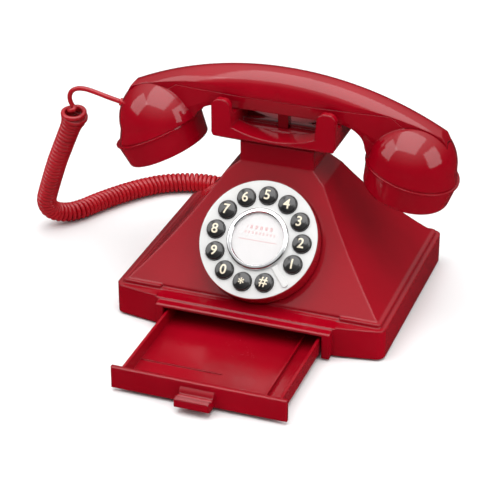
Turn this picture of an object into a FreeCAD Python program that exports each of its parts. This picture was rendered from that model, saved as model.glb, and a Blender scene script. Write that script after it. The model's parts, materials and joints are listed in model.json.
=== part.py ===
"""Push-button desk telephone with a stationery drawer, as a parametric assembly in millimetres.

The frame: +Z up, the dial faces -Y, +X is to the right of someone dialling, and the origin is on the
table under the middle of the plinth. The handset rests in its cradle and the drawer is pulled out.
"""
import FreeCAD, Part
import math
import os
import Sketcher

Vector = FreeCAD.Vector
Rotation = FreeCAD.Rotation
Placement = FreeCAD.Placement

doc = FreeCAD.newDocument("Telephone")
sheet = doc.addObject("Spreadsheet::Sheet", "Sizes")

DRIVING = (
    # plinth and casing
    ("base_width", 180.0),
    ("base_depth", 141.5),
    ("front_bow", 5.2),
    ("corner_radius", 6.0),
    ("foot_gap", 1.5),
    ("plinth_top", 21.5),
    ("step_inset", 3.2),
    ("pyramid_inset", 5.8),
    ("pyramid_foot", 24.0),
    ("face_hollow", 2.4),
    ("shoulder_height", 96.0),
    ("flare_half", 33.2),
    ("flare_height", 88.5),
    ("neck_width", 49.0),
    ("neck_depth", 30.0),
    ("neck_top", 109.0),
    ("wall", 2.5),
    # drawer
    ("surround_width", 116.0),
    ("surround_front", 81.5),
    ("surround_top", 19.0),
    ("drawer_travel", 72.7),
    ("panel_width", 112.4),
    ("panel_low", 2.3),
    ("panel_high", 17.0),
    ("panel_thick", 3.0),
    ("tray_width", 103.0),
    ("tray_length", 109.0),
    ("tray_low", 4.2),
    ("tray_high", 14.2),
    ("tray_wall", 1.8),
    # dial
    ("dial_forward", 50.0),
    ("dial_up", 60.1),
    ("dial_lean", 48.6),
    ("plate_radius", 38.5),
    ("plate_thick", 1.2),
    ("key_ring", 28.8),
    ("key_radius", 6.0),
    ("ring_radius", 20.2),
    ("window_radius", 17.0),
    # cradle
    ("cradle_width", 82.0),
    ("cradle_depth", 47.0),
    ("saddle_floor", 117.0),
    ("arm_top", 128.6),
    ("prong_top", 139.5),
    ("prong_width", 12.4),
    # handset
    ("handle_under", 129.0),
    ("handle_half", 14.0),
    ("cup_radius", 30.2),
    ("dome_radius", 28.3),
    ("cap_depth", 18.0),
    ("shell", 2.4),
    # cord
    ("wire_radius", 1.6),
    ("coil_radius", 7.0),
)


class Size:
    """A length that knows both its number and the sheet expression it is worked out from."""

    def __init__(self, value, text):
        self.value = float(value)
        self.text = text

    def __add__(self, other):
        other = as_size(other)
        return Size(self.value + other.value, f"({self.text} + {other.text})")

    def __sub__(self, other):
        other = as_size(other)
        return Size(self.value - other.value, f"({self.text} - {other.text})")

    def __mul__(self, other):
        other = as_size(other)
        return Size(self.value * other.value, f"({self.text} * {other.text})")

    def __truediv__(self, other):
        other = as_size(other)
        return Size(self.value / other.value, f"({self.text} / {other.text})")

    def __neg__(self):
        return Size(-self.value, f"(0 - {self.text})")

    def __radd__(self, other):
        return as_size(other) + self

    def __rsub__(self, other):
        return as_size(other) - self

    def __rmul__(self, other):
        return self * other


def as_size(x):
    return x if isinstance(x, Size) else Size(x, f"({float(x):.4f})")


class Sizes:
    """Every driving dimension of the sheet, by its alias."""


s = Sizes()
for row, (alias, number) in enumerate(DRIVING, start=1):
    sheet.set(f"A{row}", alias)
    sheet.set(f"B{row}", str(number))
    sheet.setAlias(f"B{row}", alias)
    setattr(s, alias, Size(number, f"Sizes.{alias}"))
doc.recompute()


# ---------------------------------------------------------------- building blocks
TURN = {
    "z": Rotation(),
    "x": Rotation(Vector(0, 1, 0), 90),
    "y": Rotation(Vector(1, 0, 0), -90),
    "-y": Rotation(Vector(1, 0, 0), 90),
}


def place(obj, x=0, y=0, z=0, turn=Rotation()):
    where = [as_size(v) for v in (x, y, z)]
    obj.Placement = Placement(Vector(*[v.value for v in where]), turn)
    for axis, v in zip("xyz", where):
        obj.setExpression(f"Placement.Base.{axis}", v.text)
    return obj


def box(name, x, y, z):
    """A block between two corners, each range given as (low, high)."""
    obj = doc.addObject("Part::Box", name)
    for prop, (low, high) in zip(("Length", "Width", "Height"), (x, y, z)):
        obj.setExpression(prop, (as_size(high) - low).text)
    return place(obj, x[0], y[0], z[0])


def rod(name, start, radius, length, axis="z", tip=None):
    """A round bar from start along an axis, tapering to the radius tip if that is given."""
    obj = doc.addObject("Part::Cylinder" if tip is None else "Part::Cone", name)
    obj.setExpression("Radius" if tip is None else "Radius1", as_size(radius).text)
    if tip is not None:
        obj.setExpression("Radius2", as_size(tip).text)
    obj.setExpression("Height", as_size(length).text)
    turn = TURN[axis] if isinstance(axis, str) else axis
    return place(obj, *start, turn)


def fuse(name, *shapes):
    obj = doc.addObject("Part::MultiFuse", name)
    obj.Shapes = list(shapes)
    obj.Refine = True
    return obj


def common(name, *shapes):
    obj = doc.addObject("Part::MultiCommon", name)
    obj.Shapes = list(shapes)
    return obj


def cut(name, base, *tools):
    obj = doc.addObject("Part::Cut", name)
    obj.Base = base
    obj.Tool = tools[0] if len(tools) == 1 else fuse(name + "_tools", *tools)
    obj.Refine = True
    return obj


def sketch(body, role, outlines, offset=0):
    """Closed outlines on one of the body's origin planes.

    An outline is a list of points (u, v), or (u, v, rise) where the side that ends there is an arc
    that stands out to the right of the chord by rise, or one circle ("circle", u, v, radius).
    """
    sk = body.newObject("Sketcher::SketchObject", body.Name + "_sketch")
    plane = [f for f in body.Origin.OriginFeatures if f.Role == role][0]
    sk.AttachmentSupport = (plane, [""])
    sk.MapMode = "FlatFace"
    offset = as_size(offset)
    sk.AttachmentOffset = Placement(Vector(0, 0, offset.value), Rotation())
    sk.setExpression("AttachmentOffset.Base.z", offset.text)

    def fix(kind, *where, to):
        index = sk.addConstraint(Sketcher.Constraint(kind, *where, to.value))
        sk.setExpression(f"Constraints[{index}]", to.text)

    for outline in outlines:
        if outline[0] == "circle":
            u, v, r = [as_size(x) for x in outline[1:]]
            circle = Part.Circle(Vector(u.value, v.value, 0), Vector(0, 0, 1), r.value)
            i = sk.addGeometry(circle, False)
            fix("DistanceX", -1, 1, i, 3, to=u)
            fix("DistanceY", -1, 1, i, 3, to=v)
            fix("Radius", i, to=r)
            continue
        corners = [[as_size(x) for x in p] for p in outline]
        sides = []
        for k, end in enumerate(corners):
            begin = corners[k - 1]
            a = Vector(begin[0].value, begin[1].value, 0)
            b = Vector(end[0].value, end[1].value, 0)
            if len(end) == 2:
                sides.append((sk.addGeometry(Part.LineSegment(a, b), False), 1, 2))
                continue
            across, up = end[0] - begin[0], end[1] - begin[1]
            rise = end[2]
            side = Vector(up.value, -across.value, 0).normalize() * rise.value
            i = sk.addGeometry(Part.Arc(a, (a + b) * 0.5 + side, b), False)
            first = 1 if (sk.getPoint(i, 1) - a).Length < 1e-6 else 2
            radius = (across * across + up * up) / (8 * rise) + rise / 2
            if radius.value < 0:
                radius = -radius
            fix("Radius", i, to=radius)
            sides.append((i, first, 3 - first))
        for k, (i, first, last) in enumerate(sides):
            after, after_first, _ = sides[(k + 1) % len(sides)]
            sk.addConstraint(Sketcher.Constraint("Coincident", i, last, after, after_first))
            fix("DistanceX", -1, 1, i, last, to=corners[k][0])
            fix("DistanceY", -1, 1, i, last, to=corners[k][1])
    return sk


def padded(name, role, outlines, low, high):
    """Outlines on the XY, XZ or YZ plane, made solid from low to high along Z, Y or X."""
    body = doc.addObject("PartDesign::Body", name)
    low, high = as_size(low), as_size(high)
    start = -high if role == "XZ_Plane" else low
    feature = body.newObject("PartDesign::Pad", name + "_pad")
    feature.Profile = sketch(body, role, outlines, start)
    feature.setExpression("Length", (high - low).text)
    body.Tip = feature
    return body


def turned(name, outline):
    """An outline of (radius, height) points, revolved about the vertical axis."""
    body = doc.addObject("PartDesign::Body", name)
    sk = sketch(body, "XZ_Plane", [outline])
    feature = body.newObject("PartDesign::Revolution", name + "_turn")
    feature.Profile = sk
    feature.ReferenceAxis = (sk, ["V_Axis"])
    feature.Angle = 360
    body.Tip = feature
    return body


def rounded(name, base, radius, wanted):
    """base with a fillet on every edge that wanted(edge) picks."""
    doc.recompute()
    picked = [i for i, e in enumerate(base.Shape.Edges, start=1) if wanted(e)]
    obj = doc.addObject("Part::Fillet", name)
    obj.Base = base
    obj.Edges = [(i, radius, radius) for i in picked]
    return obj


def upright(edge):
    a, b = edge.Vertexes[0].Point, edge.Vertexes[-1].Point
    return (a - b).Length > 1 and abs((a - b).normalize().z) > 0.999


# ---------------------------------------------------------------- casing
half_x = s.base_width / 2
half_y = s.base_depth / 2
block_front = half_y + s.front_bow
surround_x = s.surround_width / 2
recess_x = surround_x + 2
foot_x = half_x - s.pyramid_inset
foot_y = half_y - s.pyramid_inset
neck_x = s.neck_width / 2
neck_y = s.neck_depth / 2


def pyramid(name, inset, low, high, hollow):
    """The casing's tapering part: each level is a rectangle, and the four sides curve inwards."""
    foot, shoulder, flare = s.pyramid_foot, s.shoulder_height, s.flare_half - inset
    wide, narrow = foot_x - inset, neck_x - inset
    across = [
        (-wide, low),
        (wide, low),
        (wide, foot),
        (flare, s.flare_height, -hollow),
        (narrow, shoulder),
        (narrow, high),
        (-narrow, high),
        (-narrow, shoulder),
        (-flare, s.flare_height),
        (-wide, foot, -hollow),
    ]
    deep, thin = foot_y - inset, neck_y - inset
    along = [
        (-deep, low),
        (deep, low),
        (deep, foot),
        (thin, shoulder, -hollow),
        (thin, high),
        (-thin, high),
        (-thin, shoulder),
        (-deep, foot, -hollow),
    ]
    reach = s.base_width
    return common(
        name,
        padded(name + "_across", "XZ_Plane", [across], -reach, reach),
        padded(name + "_along", "YZ_Plane", [along], -reach, reach),
    )


def make_casing():
    plan = [
        (-half_x, half_y),
        (-half_x, -half_y),
        (-recess_x, -block_front),
        (recess_x, -block_front),
        (half_x, -half_y),
        (half_x, half_y),
    ]
    plinth = padded("plinth_block", "XY_Plane", [plan], s.foot_gap, s.plinth_top)
    plinth = rounded("plinth_round", plinth, s.corner_radius.value, upright)
    step_x, step_y = half_x - s.step_inset, half_y - s.step_inset
    step = box("step", (-step_x, step_x), (-step_y, step_y), (s.plinth_top - 1, s.pyramid_foot))
    step = rounded("step_round", step, 3, upright)
    roof_back, roof_front = s.pyramid_foot - 1.5, s.surround_top
    over_roof = [
        (-foot_y, roof_back),
        (-s.surround_front - 3, roof_front),
        (-s.surround_front - 3, roof_front + 12),
        (-foot_y, roof_front + 12),
    ]
    recess = padded("recess", "YZ_Plane", [over_roof], -recess_x, recess_x)
    frame = [
        (-foot_y, s.foot_gap),
        (-s.surround_front, s.foot_gap),
        (-s.surround_front, roof_front - 1.2),
        (-s.surround_front + 1.2, roof_front, -0.35),
        (-foot_y, roof_back),
    ]
    surround = padded("surround", "YZ_Plane", [frame], -surround_x, surround_x)
    outside = pyramid("pyramid", as_size(0), s.plinth_top, s.neck_top, s.face_hollow)
    solid = fuse("casing_solid", cut("notched", fuse("stepped", plinth, step), recess), surround, outside)
    inner = pyramid("hollow", s.wall + 0.6, s.plinth_top - s.wall, s.neck_top - s.wall, s.face_hollow)
    in_x, in_y = half_x - s.wall, half_y - s.wall
    room = box("room", (-in_x, in_x), (-in_y, in_y), (0, s.plinth_top - s.wall))
    mouth_x = s.tray_width / 2 + 1.5
    mouth_y = (-s.surround_front - 5, -in_y + 1)
    mouth = box("drawer_mouth", (-mouth_x, mouth_x), mouth_y, (0, s.surround_top - 1.8))
    bore = rod("dial_bore", DIAL_AT, s.plate_radius + 0.6, 60, DIAL_DOWN)
    slot = box("plunger_slot", (-4.7, 4.7), (-3.5, 3.5), (s.neck_top - 6, s.neck_top + 2))
    hollow = cut("hollow_casing", solid, inner, room, mouth, bore, slot, *back_openings())
    bars = [rod(f"post_{n}", (x, y, post_low), 3.6, 60) for n, (x, y) in enumerate(SCREWS)]
    posts = common("screw_posts", solid, fuse("post_bars", *bars))
    holes = [rod(f"post_hole_{n}", (x, y, 0), 1.2, 17) for n, (x, y) in enumerate(SCREWS)]
    return cut("upper_casing", fuse("casing_and_posts", hollow, posts), *holes)


def back_openings():
    """Holes in the plinth's back wall for the cord gland, the two sliders and the line socket."""
    y = half_y - s.wall - 1
    deep = s.wall + 4
    gland = rod("gland_hole", (CORD_X, y, CORD_Z), 3.6, deep, "y")
    slots = [box(f"slider_slot_{n}", (x - 5, x + 5), (y, y + deep), (8, 12)) for n, x in enumerate(SLIDER_X)]
    socket = box("socket_hole", (JACK_X - 6.1, JACK_X + 6.1), (y, y + deep), (5.4, 16.1))
    return [gland, socket] + slots


# The dial's own axes: its face is the local plane z = 0, and its normal is the local +Z.
DIAL_TURN = Rotation(Vector(1, 0, 0), s.dial_lean.value)
DIAL_DOWN = Rotation(Vector(1, 0, 0), s.dial_lean.value + 180)
DIAL_AT = (as_size(0), -s.dial_forward, s.dial_up)
CORD_X = -54.0
CORD_Z = 12.0
SLIDER_X = (4.0, 24.0)
JACK_X = 48.0
SCREWS = [(x, y) for x in (-72, 72) for y in (-54, 54)]
plate_low = s.foot_gap
post_low = plate_low + 2.05
casing = make_casing()

# The plate that closes the base, with the ribs that the drawer slides on.
plate_x, plate_y = half_x - s.wall - 0.3, half_y - s.wall - 0.3
floor_plate = box("floor_plate", (-plate_x, plate_x), (-plate_y, plate_y), (plate_low, plate_low + 2))
runner_z = (plate_low + 2, s.tray_low - 0.1)
runners = [box(f"runner_{n}", (x - 1, x + 1), (-plate_y, 30), runner_z) for n, x in enumerate((-40, 40))]
screw_holes = [rod(f"screw_hole_{n}", (x, y, 0), 1.7, 10) for n, (x, y) in enumerate(SCREWS)]
base_plate = cut("base_plate", fuse("ribbed_plate", floor_plate, *runners), *screw_holes)

# A foot near each corner, and one under the middle, which carries the push on the keys.
FEET = ((-60, -56), (-60, 56), (60, -56), (60, 56), (0, 0))
feet = [rod(f"foot_{n}", (x, y, 0), 6.5, plate_low, tip=7.5) for n, (x, y) in enumerate(FEET)]
rubber_feet = fuse("rubber_feet", *feet)

screws = []
for n, (x, y) in enumerate(SCREWS):
    screws.append(rod(f"screw_head_{n}", (x, y, 0.5), 2.9, plate_low - 0.5))
    screws.append(rod(f"screw_shank_{n}", (x, y, plate_low - 0.1), 1.15, 12))
base_screws = fuse("base_screws", *screws)

# The tunnel that keeps the drawer apart from the wiring.
tunnel_x = s.tray_width / 2 + 1.5
tunnel_back = 31.0
tunnel_top = s.surround_top - 1.6
tunnel_low = post_low
tunnel_y = (-plate_y + 0.5, tunnel_back + 1.6)
tunnel_z = (tunnel_low, tunnel_top + 1.4)
tunnel_block = box("tunnel_block", (-tunnel_x - 1.6, tunnel_x + 1.6), tunnel_y, tunnel_z)
tunnel_room = box("tunnel_room", (-tunnel_x, tunnel_x), (-plate_y - 1, tunnel_back), (0, tunnel_top))
drawer_tunnel = cut("drawer_tunnel", tunnel_block, tunnel_room)

# ---------------------------------------------------------------- drawer, pulled out
panel_back = -s.surround_front - s.drawer_travel - 0.3
panel_front = panel_back - s.panel_thick
tray_x = s.tray_width / 2
tray_back = panel_back + s.tray_length
tray_block = box("tray_block", (-tray_x, tray_x), (panel_back, tray_back), (s.tray_low, s.tray_high))
tray_room = box(
    "tray_room",
    (-tray_x + s.tray_wall, tray_x - s.tray_wall),
    (panel_back - 1, tray_back - s.tray_wall),
    (s.tray_low + 1.6, s.tray_high + 1),
)
pen_rib = box("pen_rib", (37.4, 38.6), (panel_back, tray_back - 1), (s.tray_low + 1, s.tray_low + 4.4))
stop_rib = box("stop_rib", (-tray_x + 1, 4), (-127.2, -126.2), (s.tray_low + 1, s.tray_low + 2.4))
drawer_tray = fuse("drawer_tray", cut("tray_shell", tray_block, tray_room), pen_rib, stop_rib)

panel_x = s.panel_width / 2
panel = box("panel", (-panel_x, panel_x), (panel_front, panel_back), (s.panel_low, s.panel_high))
panel = rounded("panel_round", panel, 0.8, lambda e: e.BoundBox.YMax < panel_front.value + 0.01)
pull_reach = 10.5
pull = [
    (panel_front + 0.2, 3.6),
    (panel_front - 8, 3.6),
    (panel_front - pull_reach, 5.2, 0.6),
    (panel_front - pull_reach, 10.6),
    (panel_front - pull_reach + 2.2, 11.6, 0.7),
    (panel_front - 6.0, 9.0, -0.5),
    (panel_front - 2.4, 9.4, -0.9),
    (panel_front + 0.2, 13.4, -0.5),
]
drawer_pull = padded("pull_lip", "YZ_Plane", [pull], -11, 11)
drawer_front = fuse("drawer_front", panel, drawer_pull)


# ---------------------------------------------------------------- dial
def on_dial(obj, x=0.0, y=0.0, z=0.0):
    """Put an object that was made about its own vertical axis on the dial, at a point of its face."""
    shift = DIAL_TURN.multVec(Vector(x, y, z))
    return place(obj, shift.x, DIAL_AT[1] + shift.y, DIAL_AT[2] + shift.z, DIAL_TURN)


rim = s.plate_radius + 0.5
dial_housing = turned(
    "dial_housing",
    [
        (s.plate_radius + 0.1, 0),
        (rim, 0),
        (rim, -13),
        (rim - 2.4, -13),
        (rim - 2.4, -s.plate_thick),
        (s.plate_radius + 0.1, -s.plate_thick),
    ],
)
on_dial(dial_housing)

KEY_NAMES = tuple(f"key_{mark}" for mark in [*range(1, 10), 0, "star", "hash"])
FIRST_KEY = -25.5
KEY_STEP = 28.8
key_places = []
for n in range(len(KEY_NAMES)):
    angle = math.radians(FIRST_KEY + n * KEY_STEP)
    key_places.append((math.cos(angle), math.sin(angle)))

key_holes = [("circle", s.key_ring * c, s.key_ring * d, s.key_radius + 0.35) for c, d in key_places]
disc = ("circle", 0, 0, s.plate_radius)
dial_faceplate = padded("dial_faceplate", "XY_Plane", [disc] + key_holes, -s.plate_thick, 0)
on_dial(dial_faceplate)

keys = {}
for name, (c, d) in zip(KEY_NAMES, key_places):
    key = turned(
        name,
        [
            (0, 1.4),
            (s.key_radius - 2, 1.4),
            (s.key_radius - 2, -4.4),
            (s.key_radius, -4.4),
            (s.key_radius, -2.6),
            (s.key_radius + 1, -2.6),
            (s.key_radius + 1, -1.6),
            (s.key_radius, -1.6),
            (s.key_radius, 1.0),
            (s.key_radius - 1.2, 2.2, 0.35),
            (1.2, 3.1, 0.12),
            (0, 3.1),
        ],
    )
    keys[name] = on_dial(key, s.key_ring.value * c, s.key_ring.value * d)

dial_ring = turned(
    "dial_ring",
    [
        (s.window_radius, 0),
        (s.ring_radius, 0),
        (s.ring_radius, 1.0),
        (s.ring_radius - 1.2, 2.6, 0.4),
        (s.window_radius + 0.6, 2.6),
        (s.window_radius, 2.0),
    ],
)
on_dial(dial_ring)
pane = s.window_radius - 0.05
dial_window = turned("dial_window", [(0, 0.5), (pane, 0.5), (pane, 1.5), (3, 2.1, 0.12), (0, 2.1)])
on_dial(dial_window)
number_card = rod("number_card", (0, 0, 0), s.window_radius - 0.1, 0.45)
on_dial(number_card)

stop_angle = FIRST_KEY - 21.6
stop_plan = [(21.2, -1.9), (34.5, -1.9), (36.6, 0, 0.9), (34.5, 1.9, 0.9), (21.2, 1.9)]
finger_stop = padded("finger_stop", "XY_Plane", [stop_plan], 0, 0.9)
on_dial(finger_stop)
finger_stop.Placement = finger_stop.Placement * Placement(Vector(), Rotation(Vector(0, 0, 1), stop_angle))
for axis in "xyz":
    finger_stop.setExpression(f"Placement.Base.{axis}", None)

# Behind the plate: a rubber sheet with a dome under each key, on a round circuit board.
dome_places = [(s.key_ring * c, s.key_ring * d, -7.6) for c, d in key_places]
domes = [rod(f"dome_{n}", spot, 3.2, 1.3, tip=2.2) for n, spot in enumerate(dome_places)]
sheet_disc = rod("membrane_disc", (0, 0, -8.6), 35.8, 1.1)
keypad_membrane = on_dial(fuse("keypad_membrane", sheet_disc, *domes))
keypad_board = rod("keypad_board", (0, 0, 0), 36.4, 1.6)
on_dial(keypad_board, z=-10.2)
lugs = []
for n, angle in enumerate((40, 160, 280)):
    c, d = math.cos(math.radians(angle)), math.sin(math.radians(angle))
    lugs.append(rod(f"dial_screw_head_{n}", (33.6 * c, 33.6 * d, -11.4), 1.7, 1.2))
dial_screws = on_dial(fuse("dial_screws", *lugs))

# ---------------------------------------------------------------- cradle and hook switch
cradle_x, cradle_y = s.cradle_width / 2, s.cradle_depth / 2
prong_in = cradle_x - s.prong_width
brim = s.saddle_floor + 5
side_view = [
    (-neck_x + 1.5, s.neck_top, -0.5),
    (neck_x - 1.5, s.neck_top),
    (neck_x + 3, s.neck_top + 2.2, -0.5),
    (cradle_x - 5, s.neck_top + 3.4),
    (cradle_x, s.neck_top + 10, 1.8),
    (cradle_x, s.prong_top - 5),
    (cradle_x - s.prong_width / 2, s.prong_top, 1.9),
    (prong_in, s.prong_top - 5, 1.9),
    (prong_in - 1, brim),
    (-prong_in + 1, brim),
    (-prong_in, s.prong_top - 5),
    (-cradle_x + s.prong_width / 2, s.prong_top, 1.9),
    (-cradle_x, s.prong_top - 5, 1.9),
    (-cradle_x, s.neck_top + 10),
    (-cradle_x + 5, s.neck_top + 3.4, 1.8),
    (-neck_x - 3, s.neck_top + 2.2),
]
cradle_side = padded("cradle_side", "XZ_Plane", [side_view], -cradle_y, cradle_y)
end_view = [
    (-neck_y + 0.5, s.neck_top),
    (neck_y - 0.5, s.neck_top),
    (cradle_y, s.neck_top + 5.5, 1.2),
    (cradle_y, s.prong_top + 5),
    (-cradle_y, s.prong_top + 5),
    (-cradle_y, s.neck_top + 5.5),
]
cradle_end = padded("cradle_end", "YZ_Plane", [end_view], -cradle_x - 5, cradle_x + 5)
cradle_block = common("cradle_block", cradle_side, cradle_end)
between = s.handle_half + 4.5
trough = [
    (-between, s.prong_top + 3),
    (-between, s.arm_top + 4),
    (-between + 4, s.arm_top, 1.2),
    (between - 4, s.arm_top),
    (between, s.arm_top + 4, 1.2),
    (between, s.prong_top + 3),
]
trough = padded("handle_trough", "YZ_Plane", [trough], -cradle_x - 5, cradle_x + 5)
# The saddle is flat in the middle, and dips in a shallow scoop towards its front and back edges.
saddle_x = prong_in - 1
scoop = [(saddle_x, brim + 9), (-saddle_x, brim + 9), (-saddle_x, brim - 0.5), (saddle_x, brim - 0.5, 5.5)]
scoop_ends = (-cradle_y - 5, cradle_y - 15)
scoops = [padded(f"scoop_{n}", "XZ_Plane", [scoop], low, low + 20) for n, low in enumerate(scoop_ends)]
saddle = box("saddle", (-saddle_x, saddle_x), (-9, 9), (s.saddle_floor, brim + 9))
rib = box("saddle_rib", (-saddle_x, saddle_x), (-0.8, 0.8), (s.saddle_floor - 0.5, s.saddle_floor + 2.2))
hook_slot = box("hook_slot", (-3.9, 3.9), (-3.5, 3.5), (s.neck_top - 2, s.saddle_floor + 4))
cradle_open = cut("cradle_open", cradle_block, trough, saddle, *scoops)
cradle = cut("cradle", fuse("cradle_ribbed", cradle_open, rib), hook_slot)

plunger_top = s.handle_under - 0.35
hook_plunger = fuse(
    "hook_plunger",
    box("plunger_tab", (-3.4, 3.4), (-3, 3), (s.neck_top - 8, plunger_top)),
    box("plunger_foot", (-6.5, 6.5), (-3, 3), (s.neck_top - 14, s.neck_top - 8)),
    rod("plunger_stem", (0, 0, s.neck_top - 24), 1.5, 11),
)
spring_low, spring_high = s.neck_top - 27, s.neck_top - 14.05
turns = 6
height = (spring_high - spring_low).value - 0.8
helix = Part.makeHelix(height / turns, height, 3.0)
wire_end = Part.Wire(Part.makeCircle(0.35, Vector(3.0, 0, 0), Vector(0, 1, 0)))
hook_spring = doc.addObject("Part::Feature", "hook_spring")
hook_spring.Shape = Part.Wire(helix.Edges).makePipeShell([wire_end], True, True)
place(hook_spring, 0, 0, spring_low + 0.4)

switch_top = spring_low
hook_switch = fuse(
    "hook_switch",
    box("switch_body", (-9, 9), (-5, 5), (switch_top - 9, switch_top)),
    box("switch_leaf", (-8, -3.6), (-2, 2), (switch_top - 0.1, switch_top + 1.6)),
)
hanger_low, hanger_high = switch_top - 11, s.neck_top - s.wall
hanger = box("hanger_block", (-11, 11), (-7, 7), (hanger_low, hanger_high))
hanger_room = box("hanger_room", (-9.4, 9.4), (-8, 8), (hanger_low + 2, hanger_high + 1))
switch_bracket = cut("switch_bracket", hanger, hanger_room)

# ---------------------------------------------------------------- works inside the casing
board_low = tunnel_top + 1.4 + 3.2
main_board = box("main_board", (-44, 44), (-24, 46), (board_low, board_low + 1.6))
leg_low = tunnel_top + 1.4
leg_height = board_low - tunnel_top - 1.4
LEGS = ((-38, -18), (38, -18), (-38, 26), (38, 26))
legs = [rod(f"board_leg_{n}", (x, y, leg_low), 3, leg_height) for n, (x, y) in enumerate(LEGS)]
board_standoffs = fuse("board_standoffs", *legs)
deck = board_low + 1.6
board_parts = fuse(
    "board_parts",
    box("transformer", (-40, -26), (36, 45.5), (deck, deck + 8)),
    box("chip", (14, 34), (37, 44), (deck, deck + 3)),
    rod("capacitor_1", (-18, 40.5, deck), 4, 9),
    rod("capacitor_2", (4, 40.5, deck), 3, 8),
)

# A two-gong bell: the gongs on posts, an electromagnet in front, and a clapper between them.
gong_x, gong_y, gong_low, gong_radius = 25.6, 12.0, 36.0, 21.0
frame_low = deck + 3
ringer_frame = fuse(
    "ringer_frame",
    box("ringer_bar", (-30, 30), (gong_y - 4, gong_y + 4), (frame_low, frame_low + 1.5)),
    box("ringer_tongue", (-8, 8), (-20, gong_y), (frame_low, frame_low + 1.5)),
    rod("gong_post_1", (-gong_x, gong_y, deck), 2.5, gong_low + 9.56 - deck),
    rod("gong_post_2", (gong_x, gong_y, deck), 2.5, gong_low + 9.56 - deck),
    box("frame_foot", (-4, 4), (-20, -14), (deck, frame_low)),
)


def gong(name, x):
    bowl = turned(
        name,
        [
            (gong_radius - 1.2, gong_low, -1.8),
            (gong_radius, gong_low),
            (gong_radius - 6, gong_low + 10, 1.8),
            (1.7, gong_low + 10.8),
            (1.7, gong_low + 9.6),
            (gong_radius - 6.6, gong_low + 8.9),
        ],
    )
    return place(bowl, x, gong_y, 0)


gong_left = gong("gong_left", -gong_x)
gong_right = gong("gong_right", gong_x)
gong_tops = ((-gong_x, gong_y), (gong_x, gong_y))
gong_screws = fuse(
    "gong_screws",
    *[rod(f"gong_screw_head_{n}", (x, y, gong_low + 10.8), 3.4, 1.8) for n, (x, y) in enumerate(gong_tops)],
    *[rod(f"gong_screw_shank_{n}", (x, y, gong_low + 9.6), 1.6, 2.0) for n, (x, y) in enumerate(gong_tops)],
)
coil_low = frame_low + 1.55
ringer_coil = fuse(
    "ringer_coil",
    rod("bobbin", (-6, -17, coil_low + 6), 5.8, 12, "x"),
    rod("bobbin_end_1", (-7.4, -17, coil_low + 6), 6, 1.5, "x"),
    rod("bobbin_end_2", (5.9, -17, coil_low + 6), 6, 1.5, "x"),
)
clapper_z = gong_low + 2.5
clapper = fuse(
    "clapper",
    rod("clapper_hub", (0, -8, coil_low), 2.0, clapper_z + 1.2 - coil_low),
    rod("clapper_arm", (0, -8, clapper_z), 0.8, gong_y + 8, "y"),
    rod("clapper_head", (0, gong_y, clapper_z - 2.4), 2.3, 4.8),
)

# The switches for bell loudness and for tone or pulse dialling, and the socket for the line.
slider_back = half_y + 1.4


def slider(name, x):
    knob = box(name + "_knob", (x - 2, x + 2), (half_y - s.wall - 3, slider_back), (8.4, 11.6))
    shoe = box(name + "_shoe", (x - 4, x + 4), (half_y - s.wall - 4, half_y - s.wall - 0.4), (7, 13))
    return fuse(name, knob, shoe)


ringer_slider = slider("ringer_slider", SLIDER_X[0])
mode_slider = slider("mode_slider", SLIDER_X[1])
can_y = (half_y - s.wall - 9.5, half_y - s.wall - 4.3)
slider_switches = fuse(
    "slider_switches",
    *[box(f"switch_can_{n}", (x - 7, x + 7), can_y, (post_low, 15)) for n, x in enumerate(SLIDER_X)],
)
jack_block = fuse(
    "jack_block",
    box("jack_body", (JACK_X - 6, JACK_X + 6), (half_y - 14, half_y - s.wall - 0.2), (post_low, 16)),
    box("jack_nose", (JACK_X - 6, JACK_X + 6), (half_y - 14, half_y - 0.3), (5.5, 16)),
)
jack_room = box("jack_room", (JACK_X - 4.2, JACK_X + 4.2), (half_y - 11, half_y + 2), (7.5, 13.5))
line_socket = cut("line_socket", jack_block, jack_room)

# ---------------------------------------------------------------- the handset cord's route
# The lead leaves the handset, the coil hangs to the table and lies round to the back, and a tail ends at the base.
LEAD_TOP = [
    (-113.8, 0, 116.6),
    (-122.5, 0, 118.3),
    (-131.0, 0, 120.4),
    (-139.0, -0.5, 119.6),
    (-143.3, -0.8, 111.3),
    (-146.08, -0.03, 104.97),
]
COIL = [
    (-146.2, 0, 104.7),
    (-151.8, 1.6, 92.0),
    (-158.5, 4.2, 77.5),
    (-166.0, 7.4, 61.5),
    (-172.5, 11.0, 45.5),
    (-178.0, 14.5, 32.0),
    (-181.6, 17.6, 23.0),
    (-181.4, 23.6, 13.0),
    (-174.4, 31.8, 7.9),
    (-166.8, 41.0, 7.2),
    (-160.5, 55.0, 7.2),
    (-151.0, 71.5, 7.2),
    (-140.0, 87.0, 7.2),
    (-126.0, 101.0, 7.2),
    (-105.0, 110.5, 7.2),
    (-84.0, 110.5, 7.2),
]
LEAD_BACK = [
    (-84.0, 110.5, 7.2),
    (-75.0, 110.5, 7.2),
    (-66.0, 108.5, 8.4),
    (-58.5, 103.0, 10.6),
    (-54.0, 96.5, 12.0),
    (-54.0, 89.0, 12.0),
]

# ---------------------------------------------------------------- handset
# Each cup: where its seam plane's middle is, how the plane leans, and where the middle of its dome is.
CUPS = {
    "mouth": {"seam": (-87.0, 104.0), "lean": -26.0, "dome": (-84.3, 110.0)},
    "ear": {"seam": (85.3, 101.5), "lean": 14.0, "dome": (85.0, 105.2)},
}
ARCH_AT = (-4.1, -72.5)
ARCH_RADIUS = 229.0


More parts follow.
